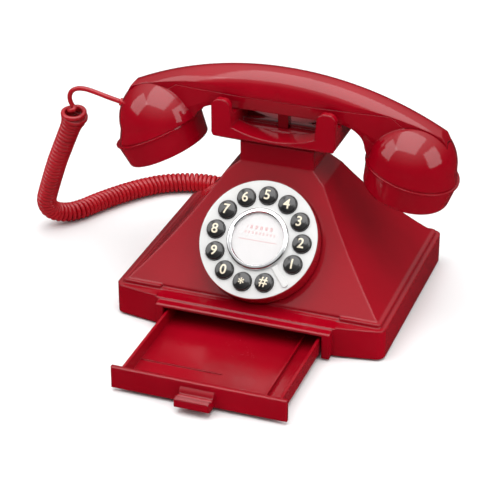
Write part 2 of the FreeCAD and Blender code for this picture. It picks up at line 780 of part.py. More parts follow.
def handle(name, inset):
    """The handle, drawn in by inset: where its side view, its plan and its arched section all agree."""
    under = s.handle_under + inset
    side = [
        (103 - inset, 98 + inset),
        (109 - inset, 118),
        (100.5 - inset, 132.5, 1.2),
        (100.5 - inset, 165),
        (-100.5 + inset, 165),
        (-100.5 + inset, 136),
        (-107.5 + inset, 122, 1.0),
        (-101 + inset, 98 + inset),
        (-63 - inset, 103 + inset),
        (-58 - inset, 118),
        (-46, under, -2.0),
        (42, under),
        (56 + inset, 114, -3.6),
        (62 + inset, 98 + inset),
    ]
    side = padded(name + "_side", "XZ_Plane", [side], -30, 30)
    half = s.handle_half - inset
    ends = s.handle_half - 9 - inset
    bow = 2.15
    front_edge = [(-113, -ends), (0, -half, bow), (113, -ends, bow)]
    back_edge = [(113, ends), (0, half, bow), (-113, ends, bow)]
    plan = padded(name + "_plan", "XY_Plane", [front_edge + back_edge], 80, 170)
    top = ARCH_RADIUS - inset
    section = [
        (170, -half + 6),
        (ARCH_RADIUS - 27.5, -half + 4.5),
        (ARCH_RADIUS - 15.7, -half),
        (top - 7.5, -half + 1.7),
        (top - 7.5, half - 1.7, 7.5),
        (ARCH_RADIUS - 15.7, half),
        (ARCH_RADIUS - 27.5, half - 4.5),
        (170, half - 6),
    ]
    ring = place(turned(name + "_ring", section), ARCH_AT[0], 0, ARCH_AT[1], TURN["y"])
    return common(name, side, plan, ring)


def cup_place(name):
    """The placement of a cup's seam plane: +Z points into the dome."""
    x, z = CUPS[name]["seam"]
    lean = Rotation(Vector(0, 1, 0), CUPS[name]["lean"])
    return x, 0, z, lean


def circle(name, x, z, radius, lean):
    obj = doc.addObject("Part::Circle", name)
    obj.setExpression("Radius", as_size(radius).text)
    return place(obj, x, 0, z, lean)


def dome(name, cup, inset):
    """A cup's outer shape: a ball, and a skirt that joins it to a round just past the seam."""
    x, z = CUPS[cup]["dome"]
    ball = doc.addObject("Part::Sphere", name + "_ball")
    ball.setExpression("Radius", (s.dome_radius - inset).text)
    place(ball, x, 0, z)
    seam_x, _, seam_z, lean = cup_place(cup)
    up = lean.multVec(Vector(0, 0, 1))
    skirt = doc.addObject("Part::Loft", name + "_skirt")
    skirt.Sections = [
        circle(name + "_low", seam_x - 4 * up.x, seam_z - 4 * up.z, s.cup_radius + 0.6 - inset, lean),
        circle(name + "_high", x + 6 * up.x, z + 6 * up.z, s.dome_radius - 1.1 - inset, lean),
    ]
    skirt.Solid = True
    skirt.Ruled = True
    return fuse(name, ball, skirt)


def below_seam(name, cup):
    """A big drum under a cup's seam plane, to cut away whatever reaches past it."""
    x, _, z, _ = cup_place(cup)
    down = Rotation(Vector(0, 1, 0), CUPS[cup]["lean"] + 180)
    return rod(name, (x, 0, z), 42, 60, down)


grip = handle("grip", as_size(0))
grip_room = handle("grip_room", s.shell)
over_split = [
    (-112, 112),
    (-93, 127.5),
    (-70, 139.5, 1.0),
    (72, 138.5),
    (96, 124, 1.0),
    (112, 112),
    (125, 170),
    (-125, 170),
]
over_split = padded("over_split", "XZ_Plane", [over_split], -60, 60)
domes_out = [dome(f"dome_{c}", c, 0) for c in CUPS]
domes_in = [dome(f"dome_room_{c}", c, s.shell) for c in CUPS]
past_seams = [below_seam(f"past_seam_{c}", c) for c in CUPS]
lower_solid = fuse("lower_solid", cut("grip_below", grip, over_split), *domes_out)
screw_x = (-34, 34)
screw_seats = []
for n, x in enumerate(screw_x):
    screw_seats.append(rod(f"screw_seat_{n}", (x, 0, s.handle_under - 1), 2.5, 1.6))
    screw_seats.append(rod(f"screw_way_{n}", (x, 0, s.handle_under), 1.5, 5))
lead_way = (Vector(*LEAD_TOP[1]) - Vector(*LEAD_TOP[0])).normalize()
gland_turn = Rotation(Vector(0, 0, 1), lead_way)
gland_length = 9.5
gland_start = Vector(*LEAD_TOP[0]) - lead_way * gland_length
gland_hole = rod("handset_gland_hole", gland_start, 3.68, gland_length, gland_turn, tip=2.68)
lower_hollows = [grip_room, *domes_in, *past_seams, *screw_seats, gland_hole]
handset_lower = cut("handset_lower", lower_solid, *lower_hollows)
handset_upper = cut("handset_upper", common("grip_above", grip, over_split), grip_room, *domes_out)


def cap(name, cup, deep, edge, holes):
    """A screw-on cap: a lip at the seam, a tapering band, and a face with sound holes and a rounded edge."""
    r = s.cup_radius
    shell = turned(
        name + "_shell",
        [
            (r + 0.6, -0.1),
            (r - s.shell, -0.1),
            (r - s.shell - 2, -deep + 3.4),
            (0, -deep + 3.4),
            (0, -deep + 1.2),
            (r - 8, -deep),
            (r - 2.2 - edge, -deep),
            (r - 2.0, -deep + edge, 0.25 * edge),
            (r - 0.2, -1.6),
            (r + 0.6, -1.2),
        ],
    )
    drills = [rod(f"{name}_drill_{n}", (a, b, -deep - 1), 1.3, 7) for n, (a, b) in enumerate(holes)]
    return place(cut(name, shell, *drills), *cup_place(cup))


def ring_of(count, radius):
    """Evenly spaced points on a circle."""
    turns = [2 * math.pi * n / count for n in range(count)]
    return [(radius * math.cos(turn), radius * math.sin(turn)) for turn in turns]


mouthpiece_cap = cap("mouthpiece_cap", "mouth", s.cap_depth - 1, 1.6, [(0, 0)] + ring_of(6, 5.2))
ear_holes = [(0, 0)] + ring_of(6, 5.2) + ring_of(12, 10.4)
earpiece_cap = cap("earpiece_cap", "ear", s.cap_depth + 0.8, 4.0, ear_holes)
receiver_can = rod("receiver_can", (0, 0, -s.cap_depth + 2.6), 20, 7)
receiver_magnet = rod("receiver_magnet", (0, 0, -s.cap_depth + 9.5), 9, 5)
receiver = place(fuse("receiver", receiver_can, receiver_magnet), *cup_place("ear"))
capsule = rod("microphone_capsule", (0, 0, -s.cap_depth + 4.4), 12, 2)
capsule_body = rod("microphone_body", (0, 0, -s.cap_depth + 6.3), 6, 5)
microphone = place(fuse("microphone", capsule, capsule_body), *cup_place("mouth"))
handset_weight = box("handset_weight", (-28, 28), (-6, 6), (s.handle_under + s.shell, s.handle_under + 8.0))
head_low = s.handle_under + 0.1
handset_screws = fuse(
    "handset_screws",
    *[rod(f"handset_screw_{n}", (x, 0, s.handle_under + 0.5), 1.4, 2.6) for n, x in enumerate(screw_x)],
    *[rod(f"handset_screw_head_{n}", (x, 0, head_low), 2.4, 0.5) for n, x in enumerate(screw_x)],
)

# ---------------------------------------------------------------- the coiled handset cord
def tube(name, points, radius):
    """Straight runs joined by tangent arcs, with a round section carried along them."""
    points = [Vector(*p) for p in points]
    edges = []
    here = points[0]
    length = 0.0
    radii = []
    for before, corner, after in zip(points, points[1:], points[2:]):
        into = (corner - before).normalize()
        out = (after - corner).normalize()
        turn = into.getAngle(out)
        reach = 0.45 * min((corner - before).Length, (after - corner).Length)
        bend = reach / math.tan(turn / 2)
        start, end = corner - into * reach, corner + out * reach
        to_middle = (out - into).normalize()
        middle = corner + to_middle * (bend / math.cos(turn / 2) - bend)
        edges.append(Part.LineSegment(here, start).toShape())
        edges.append(Part.Arc(start, middle, end).toShape())
        length += (start - here).Length + bend * turn
        radii.append(bend)
        here = end
    edges.append(Part.LineSegment(here, points[-1]).toShape())
    length += (points[-1] - here).Length
    path = Part.Wire(edges)
    section = Part.Wire(Part.makeCircle(radius.value, points[0], points[1] - points[0]))
    obj = doc.addObject("Part::Feature", name)
    obj.Shape = path.makePipeShell([section], True, True)
    place(obj)
    expected = math.pi * radius.value**2 * length
    print(
        f"{name}: {length:.0f} mm, bend radii {min(radii):.1f} to {max(radii):.1f} mm,",
        f"volume {obj.Shape.Volume / expected:.4f} of section times length",
    )
    return obj


cord_lead = tube("cord_lead", LEAD_TOP, s.wire_radius)
cord_coil = tube("cord_coil", COIL, s.coil_radius)
cord_tail = tube("cord_tail", LEAD_BACK, s.wire_radius)
# The coil's turns lie a little more than the wire's diameter apart, on a circle inside the coil's outer one.
coil_pitch = 3.4
turn_radius = s.coil_radius.value - s.wire_radius.value
coil_turns = sum((Vector(*b) - Vector(*a)).Length for a, b in zip(COIL, COIL[1:])) / coil_pitch
wire_length = coil_turns * math.hypot(2 * math.pi * turn_radius, coil_pitch)
print(f"the coil has about {coil_turns:.0f} turns, {wire_length:.0f} mm of wire")

handset_gland = rod("handset_gland", gland_start, 3.6, gland_length, gland_turn, tip=2.6)
base_gland = fuse(
    "base_gland",
    rod("base_gland_cone", (CORD_X, half_y + 0.2, CORD_Z), 4.6, 18.05, "y", tip=2.7),
    rod("base_gland_neck", (CORD_X, half_y - s.wall - 2, CORD_Z), 3.5, s.wall + 2.4, "y"),
    rod("base_gland_stop", (CORD_X, half_y - s.wall - 2, CORD_Z), 5.2, 1.6, "y"),
)

# ---------------------------------------------------------------- check and write
SUB_PARTS = {
    "upper_casing": casing,
    "base_plate": base_plate,
    "rubber_feet": rubber_feet,
    "base_screws": base_screws,
    "drawer_tunnel": drawer_tunnel,
    "drawer_tray": drawer_tray,
    "drawer_front": drawer_front,
    "dial_housing": dial_housing,
    "dial_faceplate": dial_faceplate,
    "dial_ring": dial_ring,
    "dial_window": dial_window,
    "number_card": number_card,
    "finger_stop": finger_stop,
    "keypad_membrane": keypad_membrane,
    "keypad_board": keypad_board,
    "dial_screws": dial_screws,
    "cradle": cradle,
    "hook_plunger": hook_plunger,
    "hook_spring": hook_spring,
    "hook_switch": hook_switch,
    "switch_bracket": switch_bracket,
    "main_board": main_board,
    "board_standoffs": board_standoffs,
    "board_parts": board_parts,
    "ringer_frame": ringer_frame,
    "gong_left": gong_left,
    "gong_right": gong_right,
    "gong_screws": gong_screws,
    "ringer_coil": ringer_coil,
    "clapper": clapper,
    "ringer_slider": ringer_slider,
    "mode_slider": mode_slider,
    "slider_switches": slider_switches,
    "line_socket": line_socket,
    "handset_upper": handset_upper,
    "handset_lower": handset_lower,
    "mouthpiece_cap": mouthpiece_cap,
    "earpiece_cap": earpiece_cap,
    "receiver": receiver,
    "microphone": microphone,
    "handset_weight": handset_weight,
    "handset_screws": handset_screws,
    "handset_gland": handset_gland,
    "base_gland": base_gland,
    "cord_lead": cord_lead,
    "cord_coil": cord_coil,
    "cord_tail": cord_tail,
}
SUB_PARTS.update(keys)

doc.recompute()
for obj in doc.Objects:
    if "Invalid" in obj.State or "Error" in obj.State:
        raise RuntimeError(f"{obj.Name} failed to recompute: {obj.State}")
for name, obj in SUB_PARTS.items():
    obj.Label = name
    if obj.Shape.isNull() or not obj.Shape.isValid() or obj.Shape.Volume <= 0:
        raise RuntimeError(f"{name} has no valid solid")
os.makedirs("parts", exist_ok=True)
for name, obj in SUB_PARTS.items():
    obj.Shape.exportStep(f"parts/{name}.step")
print(f"{len(SUB_PARTS)} sub-parts written")
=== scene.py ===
"""A red desk telephone with twelve push buttons in a round plate, a coiled cord and a drawer."""

import json
import math

import bmesh
import bpy
import numpy as np
from bpy.props import FloatProperty, FloatVectorProperty, IntProperty, PointerProperty
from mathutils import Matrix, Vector


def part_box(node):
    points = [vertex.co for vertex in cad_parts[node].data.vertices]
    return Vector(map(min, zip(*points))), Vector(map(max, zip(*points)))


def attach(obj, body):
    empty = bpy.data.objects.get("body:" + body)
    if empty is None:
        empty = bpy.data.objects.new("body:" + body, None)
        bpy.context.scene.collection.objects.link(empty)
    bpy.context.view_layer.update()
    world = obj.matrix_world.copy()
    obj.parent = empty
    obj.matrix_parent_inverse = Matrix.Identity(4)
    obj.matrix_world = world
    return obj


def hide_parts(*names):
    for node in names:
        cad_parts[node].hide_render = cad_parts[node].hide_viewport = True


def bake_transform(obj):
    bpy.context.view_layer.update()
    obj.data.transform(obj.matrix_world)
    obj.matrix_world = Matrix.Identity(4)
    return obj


bl_info = {
    "name": "Desk Telephone",
    "version": (1, 0, 0),
    "blender": (4, 5, 0),
    "location": "View3D > Sidebar > Telephone",
    "description": "Dresses a push-button desk telephone with its cord, numerals, finishes and studio",
    "category": "Add Mesh",
}

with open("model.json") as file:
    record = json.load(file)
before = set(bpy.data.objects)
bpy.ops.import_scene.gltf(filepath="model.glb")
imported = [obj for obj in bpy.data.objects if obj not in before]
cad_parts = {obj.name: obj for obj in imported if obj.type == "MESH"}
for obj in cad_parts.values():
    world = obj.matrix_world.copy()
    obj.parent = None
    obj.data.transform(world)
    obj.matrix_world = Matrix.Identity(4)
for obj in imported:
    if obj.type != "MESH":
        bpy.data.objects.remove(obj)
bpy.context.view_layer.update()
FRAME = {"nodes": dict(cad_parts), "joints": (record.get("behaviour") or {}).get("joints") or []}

# The dial plane: its sideways, uphill and outward directions, and the centre that the number card lies on.
PRESS = next(joint["axis"] for joint in FRAME["joints"] if joint["name"] == "key_1_press")
DIAL_LEAN = math.atan2(PRESS[1], -PRESS[2])
DIAL_AXES = np.array(
    (
        (1.0, 0.0, 0.0),
        (0.0, math.cos(DIAL_LEAN), math.sin(DIAL_LEAN)),
        (0.0, -math.sin(DIAL_LEAN), math.cos(DIAL_LEAN)),
    )
)
CARD_THICK = 0.00045
DIAL_CENTRE = np.mean(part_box("number_card"), axis=0) - DIAL_AXES[2] * CARD_THICK / 2
KEY_CIRCLE = 0.0288
KEY_FACES = "1234567890*#"
KEY_NAMES = ["key_" + mark for mark in "1234567890"] + ["key_star", "key_hash"]
FIRST_KEY = math.radians(-25.5)
KEY_STEP = math.radians(28.8)

# The cord's route: the lead from the handset, the middle of the coil, and the tail into the base.
LEAD = [
    (-0.1138, 0.0, 0.1166),
    (-0.1225, 0.0, 0.1183),
    (-0.1320, 0.0, 0.1208),
    (-0.1415, -0.0004, 0.1226),
    (-0.1490, -0.0008, 0.1200),
    (-0.1510, -0.0006, 0.1125),
]
COIL = [
    (-0.1462, 0.0, 0.1047),
    (-0.1518, 0.0016, 0.0920),
    (-0.1585, 0.0042, 0.0775),
    (-0.1660, 0.0074, 0.0615),
    (-0.1725, 0.0110, 0.0455),
    (-0.1780, 0.0145, 0.0320),
    (-0.1816, 0.0176, 0.0230),
    (-0.1814, 0.0236, 0.0130),
    (-0.1744, 0.0318, 0.0079),
    (-0.1668, 0.0410, 0.0072),
    (-0.1605, 0.0550, 0.0072),
    (-0.1510, 0.0715, 0.0072),
    (-0.1400, 0.0870, 0.0072),
    (-0.1260, 0.1010, 0.0072),
    (-0.1050, 0.1105, 0.0072),
    (-0.0840, 0.1105, 0.0072),
]
TAIL = [
    (-0.0750, 0.1105, 0.0072),
    (-0.0660, 0.1085, 0.0084),
    (-0.0585, 0.1030, 0.0106),
    (-0.0540, 0.0965, 0.0120),
    (-0.0540, 0.0890, 0.0120),
]


# ---------------------------------------------------------------- sizes and colours
def colour(name, default, description):
    return FloatVectorProperty(
        name=name, default=default, size=3, min=0, max=1, subtype="COLOR", description=description
    )


def length(name, default, description):
    return FloatProperty(
        name=name, default=default, subtype="DISTANCE", unit="LENGTH", description=description
    )


def angle(name, degrees, description):
    return FloatProperty(name=name, default=math.radians(degrees), subtype="ANGLE", description=description)


class StageSettings(bpy.types.PropertyGroup):
    """The studio round the telephone."""

    lens: FloatProperty(name="Lens", default=131.8, min=20, description="Focal length on a 36 mm sensor")
    distance: length("Distance", 1.2117, "From the camera to the point that it looks at")
    azimuth: angle("Azimuth", 19.84, "Turn of the camera to the right of the front")
    elevation: angle("Elevation", 28.71, "Rise of the camera above the table")
    target: FloatVectorProperty(
        name="Target",
        default=(-0.0207, -0.0075, 0.0266),
        size=3,
        subtype="TRANSLATION",
        unit="LENGTH",
        description="Point that the camera looks at",
    )
    floor: colour("Floor", (0.93, 0.93, 0.93), "Colour of the floor")
    floor_half: length("Floor half width", 6.0, "From the middle of the floor to its edge")


class CordSettings(bpy.types.PropertyGroup):
    """The curly cord."""

    wire: length("Wire", 0.0032, "Thickness of the cord itself")
    turn: length("Turn radius", 0.0054, "Radius of the coil, to the middle of the cord")
    pitch: length("Pitch", 0.00335, "Distance between neighbouring turns")
    loose: length("Loose turn radius", 0.0078, "Radius of the first turns under the handset")
    sides: IntProperty(name="Sides", default=10, min=6, description="Corners of the cord's section")


class FinishSettings(bpy.types.PropertyGroup):
    """Colours of the finishes."""

    red: colour("Red", (0.34, 0.001, 0.010), "Moulded red plastic")
    deep_red: colour("Deep red", (0.27, 0.0005, 0.007), "The same plastic where it is a little darker")
    cord: colour("Cord", (0.48, 0.006, 0.014), "Vinyl of the cord")
    black: colour("Black", (0.012, 0.011, 0.011), "Moulded black plastic")
    plate: colour("Plate", (0.70, 0.70, 0.69), "Painted number plate")
    card: colour("Card", (0.74, 0.72, 0.72), "Paper number card")
    ink: colour("Ink", (0.62, 0.24, 0.24), "Pale print on the card")
    numeral: colour("Numeral", (0.86, 0.78, 0.60), "Cream numerals on the keys")
    edge: length("Edge", 0.0020, "Radius by which moulded edges look rounded")


class NumeralSettings(bpy.types.PropertyGroup):
    """The numerals on the keys."""

    height: length("Height", 0.0066, "Height of a numeral")
    lift: length("Lift", 0.00012, "How far the print stands off the key")


# ---------------------------------------------------------------- shader sockets with arithmetic
class Amount:
    """A number that changes over a surface: a shader socket that takes Python's arithmetic."""

    def __init__(self, finish, socket):
        self.finish = finish
        self.socket = socket

    def _with(self, operation, first, second):
        return self.finish.node("ShaderNodeMath", {"operation": operation}, {0: first, 1: second})

    def __add__(self, other):
        return self._with("ADD", self, other)

    def __radd__(self, other):
        return self._with("ADD", other, self)

    def __sub__(self, other):
        return self._with("SUBTRACT", self, other)

    def __rsub__(self, other):
        return self._with("SUBTRACT", other, self)

    def __mul__(self, other):
        return self._with("MULTIPLY", self, other)

    def __rmul__(self, other):
        return self._with("MULTIPLY", other, self)

    def __pow__(self, other):
        return self._with("POWER", self, other)

    def wave(self):
        return self.finish.node("ShaderNodeMath", {"operation": "SINE"}, {0: self})

    def step(self, low, high):
        """0 below low, 1 above high, and smooth in between."""
        settings = {"interpolation_type": "SMOOTHSTEP"}
        return self.finish.node("ShaderNodeMapRange", settings, {0: self, 1: low, 2: high, 3: 0.0, 4: 1.0})


class Finish:
    """A node material under construction."""

    def __init__(self, name):
        self.material = bpy.data.materials.new(name)
        self.material.use_nodes = True
        self.tree = self.material.node_tree
        self.shader = next(n for n in self.tree.nodes if n.type == "BSDF_PRINCIPLED")
        self.place = self.node("ShaderNodeTexCoord", {}, {}, output="Object")

    def node(self, kind, settings, values, output=0):
        made = self.tree.nodes.new(kind)
        for name, value in settings.items():
            setattr(made, name, value)
        self.fill(made, values)
        return Amount(self, made.outputs[output])

    def fill(self, made, values):
        for name, value in values.items():
            socket = made.inputs[name]
            if isinstance(value, Amount):
                self.tree.links.new(value.socket, socket)
            else:
                socket.default_value = value

    def surface(self, **values):
        """Sets the shader's sockets, named with underscores for spaces."""
        self.fill(self.shader, {name.replace("_", " "): value for name, value in values.items()})
        return self.material

    def noise(self, scale, detail=3.0, roughness=0.5, place=None):
        values = {"Vector": place or self.place, "Scale": scale, "Detail": detail, "Roughness": roughness}
        return self.node("ShaderNodeTexNoise", {}, values, output="Fac")

    def stretched(self, scale, turn=(0, 0, 0), centre=(0, 0, 0)):
        """Object coordinates, moved to a centre, turned and scaled."""
        values = {"Vector": self.place, "Location": centre, "Rotation": turn, "Scale": scale}
        return self.node("ShaderNodeMapping", {"vector_type": "TEXTURE"}, values)

    def dial_plane(self):
        """Two numbers: how far a point lies across and up the dial from its centre."""
        parts = self.tree.nodes.new("ShaderNodeSeparateXYZ")
        flat = self.stretched((1, 1, 1), (DIAL_LEAN, 0, 0), tuple(DIAL_CENTRE))
        self.tree.links.new(flat.socket, parts.inputs[0])
        return Amount(self, parts.outputs[0]), Amount(self, parts.outputs[1])

    def mixed(self, factor, first, second):
        """A colour between first and second."""
        made = self.tree.nodes.new("ShaderNodeMix")
        made.data_type = "RGBA"
        sockets = [s for s in made.inputs if s.type == "RGBA"]
        for socket, value in zip(sockets, (first, second)):
            if isinstance(value, Amount):
                self.tree.links.new(value.socket, socket)
            else:
                socket.default_value = (*value[:3], 1)
        self.tree.links.new(factor.socket, made.inputs[0])
        return Amount(self, next(s for s in made.outputs if s.type == "RGBA"))

    def bumped(self, height, strength, depth, edge=0.0):
        """The surface's normal, raised by height, over edges that look rounded."""
        values = {"Strength": strength, "Distance": depth, "Height": height}
        if edge:
            values["Normal"] = self.node("ShaderNodeBevel", {"samples": 6}, {"Radius": edge})
        return self.node("ShaderNodeBump", {}, values)


def moulded(name, light, dark, roughness, edge, coat=0.15):
    """Glossy moulded plastic: a slow drift in colour, faint orange peel, fine scuffs and a film of dust."""
    f = Finish(name)
    drift = f.noise(14.0, 3.0)
    scuff = f.noise(900.0, 4.0, 0.7).step(0.52, 0.78)
    peel = f.noise(240.0, 2.0)
    smear = f.noise(38.0, 5.0, 0.6).step(0.45, 0.8)
    return f.surface(
        Base_Color=f.mixed(drift.step(0.3, 0.7), dark, light),
        Roughness=roughness + scuff * 0.05 + smear * 0.06,
        Normal=f.bumped(peel + scuff * 0.15, 0.12, 0.0004, edge),
        Specular_IOR_Level=0.5,
        Coat_Weight=coat,
        Coat_Roughness=0.05,
    )


def painted_plate(name, base):
    """Pale satin paint on a disc, with faint rings from turning about the dial's axis."""
    f = Finish(name)
    across, up = f.dial_plane()
    radius = (across * across + up * up) ** 0.5
    rings = (radius * 9000.0).wave() * 0.5 + 0.5
    speck = f.noise(1500.0, 2.0).step(0.62, 0.75)
    tone = f.mixed(f.noise(30.0).step(0.3, 0.7), base, [c * 0.96 for c in base])
    return f.surface(
        Base_Color=tone,
        Roughness=0.26 + rings * 0.05 + speck * 0.08,
        Normal=f.bumped(rings + speck, 0.06, 0.0001, 0.0004),
        Metallic=0.0,
        Coat_Weight=0.5,
        Coat_Roughness=0.08,
    )


def metal(name, base, roughness, scale=(1, 1, 12), edge=0.0003):
    """Metal with fine lines drawn along one direction."""
    f = Finish(name)
    lines = f.noise(700.0, 3.0, 0.6, f.stretched(scale))
    return f.surface(
        Base_Color=f.mixed(f.noise(60.0).step(0.3, 0.7), base, [c * 0.9 for c in base]),
        Metallic=1.0,
        Roughness=roughness + lines * 0.1,
        Normal=f.bumped(lines, 0.08, 0.0001, edge),
    )


def clear_pane(name):
    """A clear plastic pane, thin enough to show the card under it."""
    f = Finish(name)
    return f.surface(
        Base_Color=(1, 1, 1, 1),
        Alpha=0.10 + f.noise(50.0).step(0.5, 0.9) * 0.03,
        Roughness=0.03 + f.noise(400.0).step(0.6, 0.8) * 0.04,
        Coat_Weight=1.0,
        Coat_Roughness=0.02,
    )


def printed_card(name, base, ink):
    """White card with plain pale marks: two short lines of blocks above a thin rule."""
    f = Finish(name)
    across, up = f.dial_plane()

    soft = 0.0002

    def band(value, middle, half):
        low, high = middle - half, middle + half
        return value.step(low - soft, low) * (1 - value.step(high, high + soft))

    tall_blocks = (across * 1900.0).wave().step(-0.2, 0.1)
    short_blocks = (across * 2600.0).wave().step(-0.3, 0.0)
    tall_line = band(up, 0.0072, 0.0011) * band(across, 0.0, 0.0085) * tall_blocks
    short_line = band(up, 0.0036, 0.0008) * band(across, 0.0, 0.0105) * short_blocks
    rule = band(up, -0.0012, 0.00015) * band(across, 0.0, 0.0125) * 0.8
    print_mask = (tall_line * 0.75 + short_line * 0.55 + rule) * (0.75 + f.noise(300.0) * 0.3)
    return f.surface(
        Base_Color=f.mixed(print_mask, base, ink),
        Roughness=0.62 + f.noise(800.0) * 0.15,
        Normal=f.bumped(f.noise(2500.0), 0.08, 0.0001),
    )


def matte(name, base, roughness, scale=500.0, depth=0.0002):
    """Dull rubber, board or fibre with a fine even grain."""
    f = Finish(name)
    grain = f.noise(scale, 4.0, 0.6)
    return f.surface(
        Base_Color=f.mixed(f.noise(40.0).step(0.3, 0.7), base, [c * 0.82 for c in base]),
        Roughness=roughness + grain * 0.1,
        Normal=f.bumped(grain, 0.2, depth),
    )


# ---------------------------------------------------------------- grid surfaces
def solid(name, points, faces):
    """A smooth-shaded object from an array of points and a list of faces."""
    mesh = bpy.data.meshes.new(name)
    mesh.from_pydata(points.tolist(), [], faces)
    mesh.polygons.foreach_set("use_smooth", np.ones(len(mesh.polygons), dtype=bool))
    mesh.update()
    made = bpy.data.objects.new(name, mesh)
    bpy.context.scene.collection.objects.link(made)
    return made


def grid_faces(rows, columns):
    """Quads of a grid that closes on itself sideways, each between two rows and two columns."""
    i, j = np.meshgrid(np.arange(rows - 1), np.arange(columns), indexing="ij")
    k = (j + 1) % columns
    here, above = i * columns, (i + 1) * columns
    return np.stack((here + j, here + k, above + k, above + j), -1).reshape(-1, 4)


def spline_points(control, name):
    """Points along the smooth NURBS line of order 3 that the control points give."""
    curve = bpy.data.curves.new(name, "CURVE")
    curve.dimensions = "3D"
    curve.resolution_u = 24
    spline = curve.splines.new("NURBS")
    spline.points.add(len(control) - 1)
    for point, where in zip(spline.points, control):
        point.co = (*where, 1)
    spline.order_u = 3
    spline.use_endpoint_u = True
    guide = bpy.data.objects.new(name, curve)
    bpy.context.scene.collection.objects.link(guide)
    drawn = bpy.data.meshes.new_from_object(guide)
    points = np.array([v.co[:] for v in drawn.vertices])
    bpy.data.meshes.remove(drawn)
    bpy.data.objects.remove(guide)
    return points


def running(points):
    """The length along a line at each of its points."""
    return np.concatenate(((0,), np.cumsum(np.linalg.norm(np.diff(points, axis=0), axis=1))))


def unit(rows):
    """Each row scaled to length one."""
    return rows / np.linalg.norm(rows, axis=-1, keepdims=True)


# Directions that no stretch of the cord runs along, which start its cross directions.
TUBE_REFERENCE = np.array((0.31, -0.87, 0.38))
COIL_REFERENCE = np.array((0.35, -0.80, 0.49))

# The coil's ends: the length over which its turns open, and the length of the loose ones.
EASE = 0.006
BULGE = 0.007


def frames(points, reference):
    """Two directions square to a line at each point, turned back by the running sum of their own twist."""
    along = unit(np.gradient(points, axis=0))
    side = unit(np.cross(along, reference))
    over = np.cross(along, side)
    twist = np.cumsum(np.einsum("ij,ij->i", np.gradient(side, axis=0), over))
    c, s = np.cos(-twist)[:, None], np.sin(-twist)[:, None]
    return side * c + over * s, over * c - side * s


def resampled(points, distances):
    """Points of a line at the given distances along it."""
    where = running(points)
    return np.stack([np.interp(distances, where, points[:, k]) for k in range(3)], -1)


def tube(name, path, radius, sides):
    """A round tube with a point closing each end.

    Point (s, t) is path(s) + radius * (cos t * side(s) + sin t * over(s)).
    """
    side, over = frames(path, TUBE_REFERENCE)
    t = np.arange(sides)[None, :, None] * 2 * math.pi / sides
    rings = path[:, None] + radius * (np.cos(t) * side[:, None] + np.sin(t) * over[:, None])
    points = np.concatenate((rings.reshape(-1, 3), path[:1], path[-1:]))
    count, last = len(path) * sides, (len(path) - 1) * sides
    j = np.arange(sides)
    k = (j + 1) % sides
    start = np.stack((np.full(sides, count), k, j), -1)
    end = np.stack((np.full(sides, count + 1), last + j, last + k), -1)
    return solid(name, points, grid_faces(len(path), sides).tolist() + start.tolist() + end.tolist())


def coiled(middle, at, first, last, s):
    """A helix about a line: point u is middle(u) + radius(u) * (cos w * side(u) + sin w * over(u)).

    The angle w grows by a full turn for each pitch. The radius eases from nothing at first to the
    turn radius and back to nothing at last, and bulges to the loose turn radius just after first.
    """
    grow = np.clip((at - first) / EASE, 0, 1) * np.clip((last - at) / EASE, 0, 1)
    grow = grow * grow * (3 - 2 * grow)
    bulge = np.exp(-(((at - first - EASE) / BULGE) ** 2))
    radius = (grow * (s.turn + (s.loose - s.turn) * bulge))[:, None]
    side, over = frames(middle, COIL_REFERENCE)
    w = (2 * math.pi * np.clip(at - first, 0, last - first) / s.pitch)[:, None]
    return middle + radius * (np.cos(w) * side + np.sin(w) * over)


# ---------------------------------------------------------------- finishes on carried-over pieces
def dressed(material, *names, crease=32):
    """Gives CAD pieces a material, and smooths them where faces meet at less than the crease angle."""
    for name in names:
        piece = FRAME["nodes"][name]
        piece.data.materials.clear()
        piece.data.materials.append(material)
        piece.data.polygons.foreach_set("use_smooth", np.ones(len(piece.data.polygons), dtype=bool))
        weld = piece.modifiers.new("joined", "WELD")
        weld.merge_threshold = 1e-6
        split = piece.modifiers.new("creases", "EDGE_SPLIT")
        split.split_angle = math.radians(crease)
        split.use_edge_sharp = False


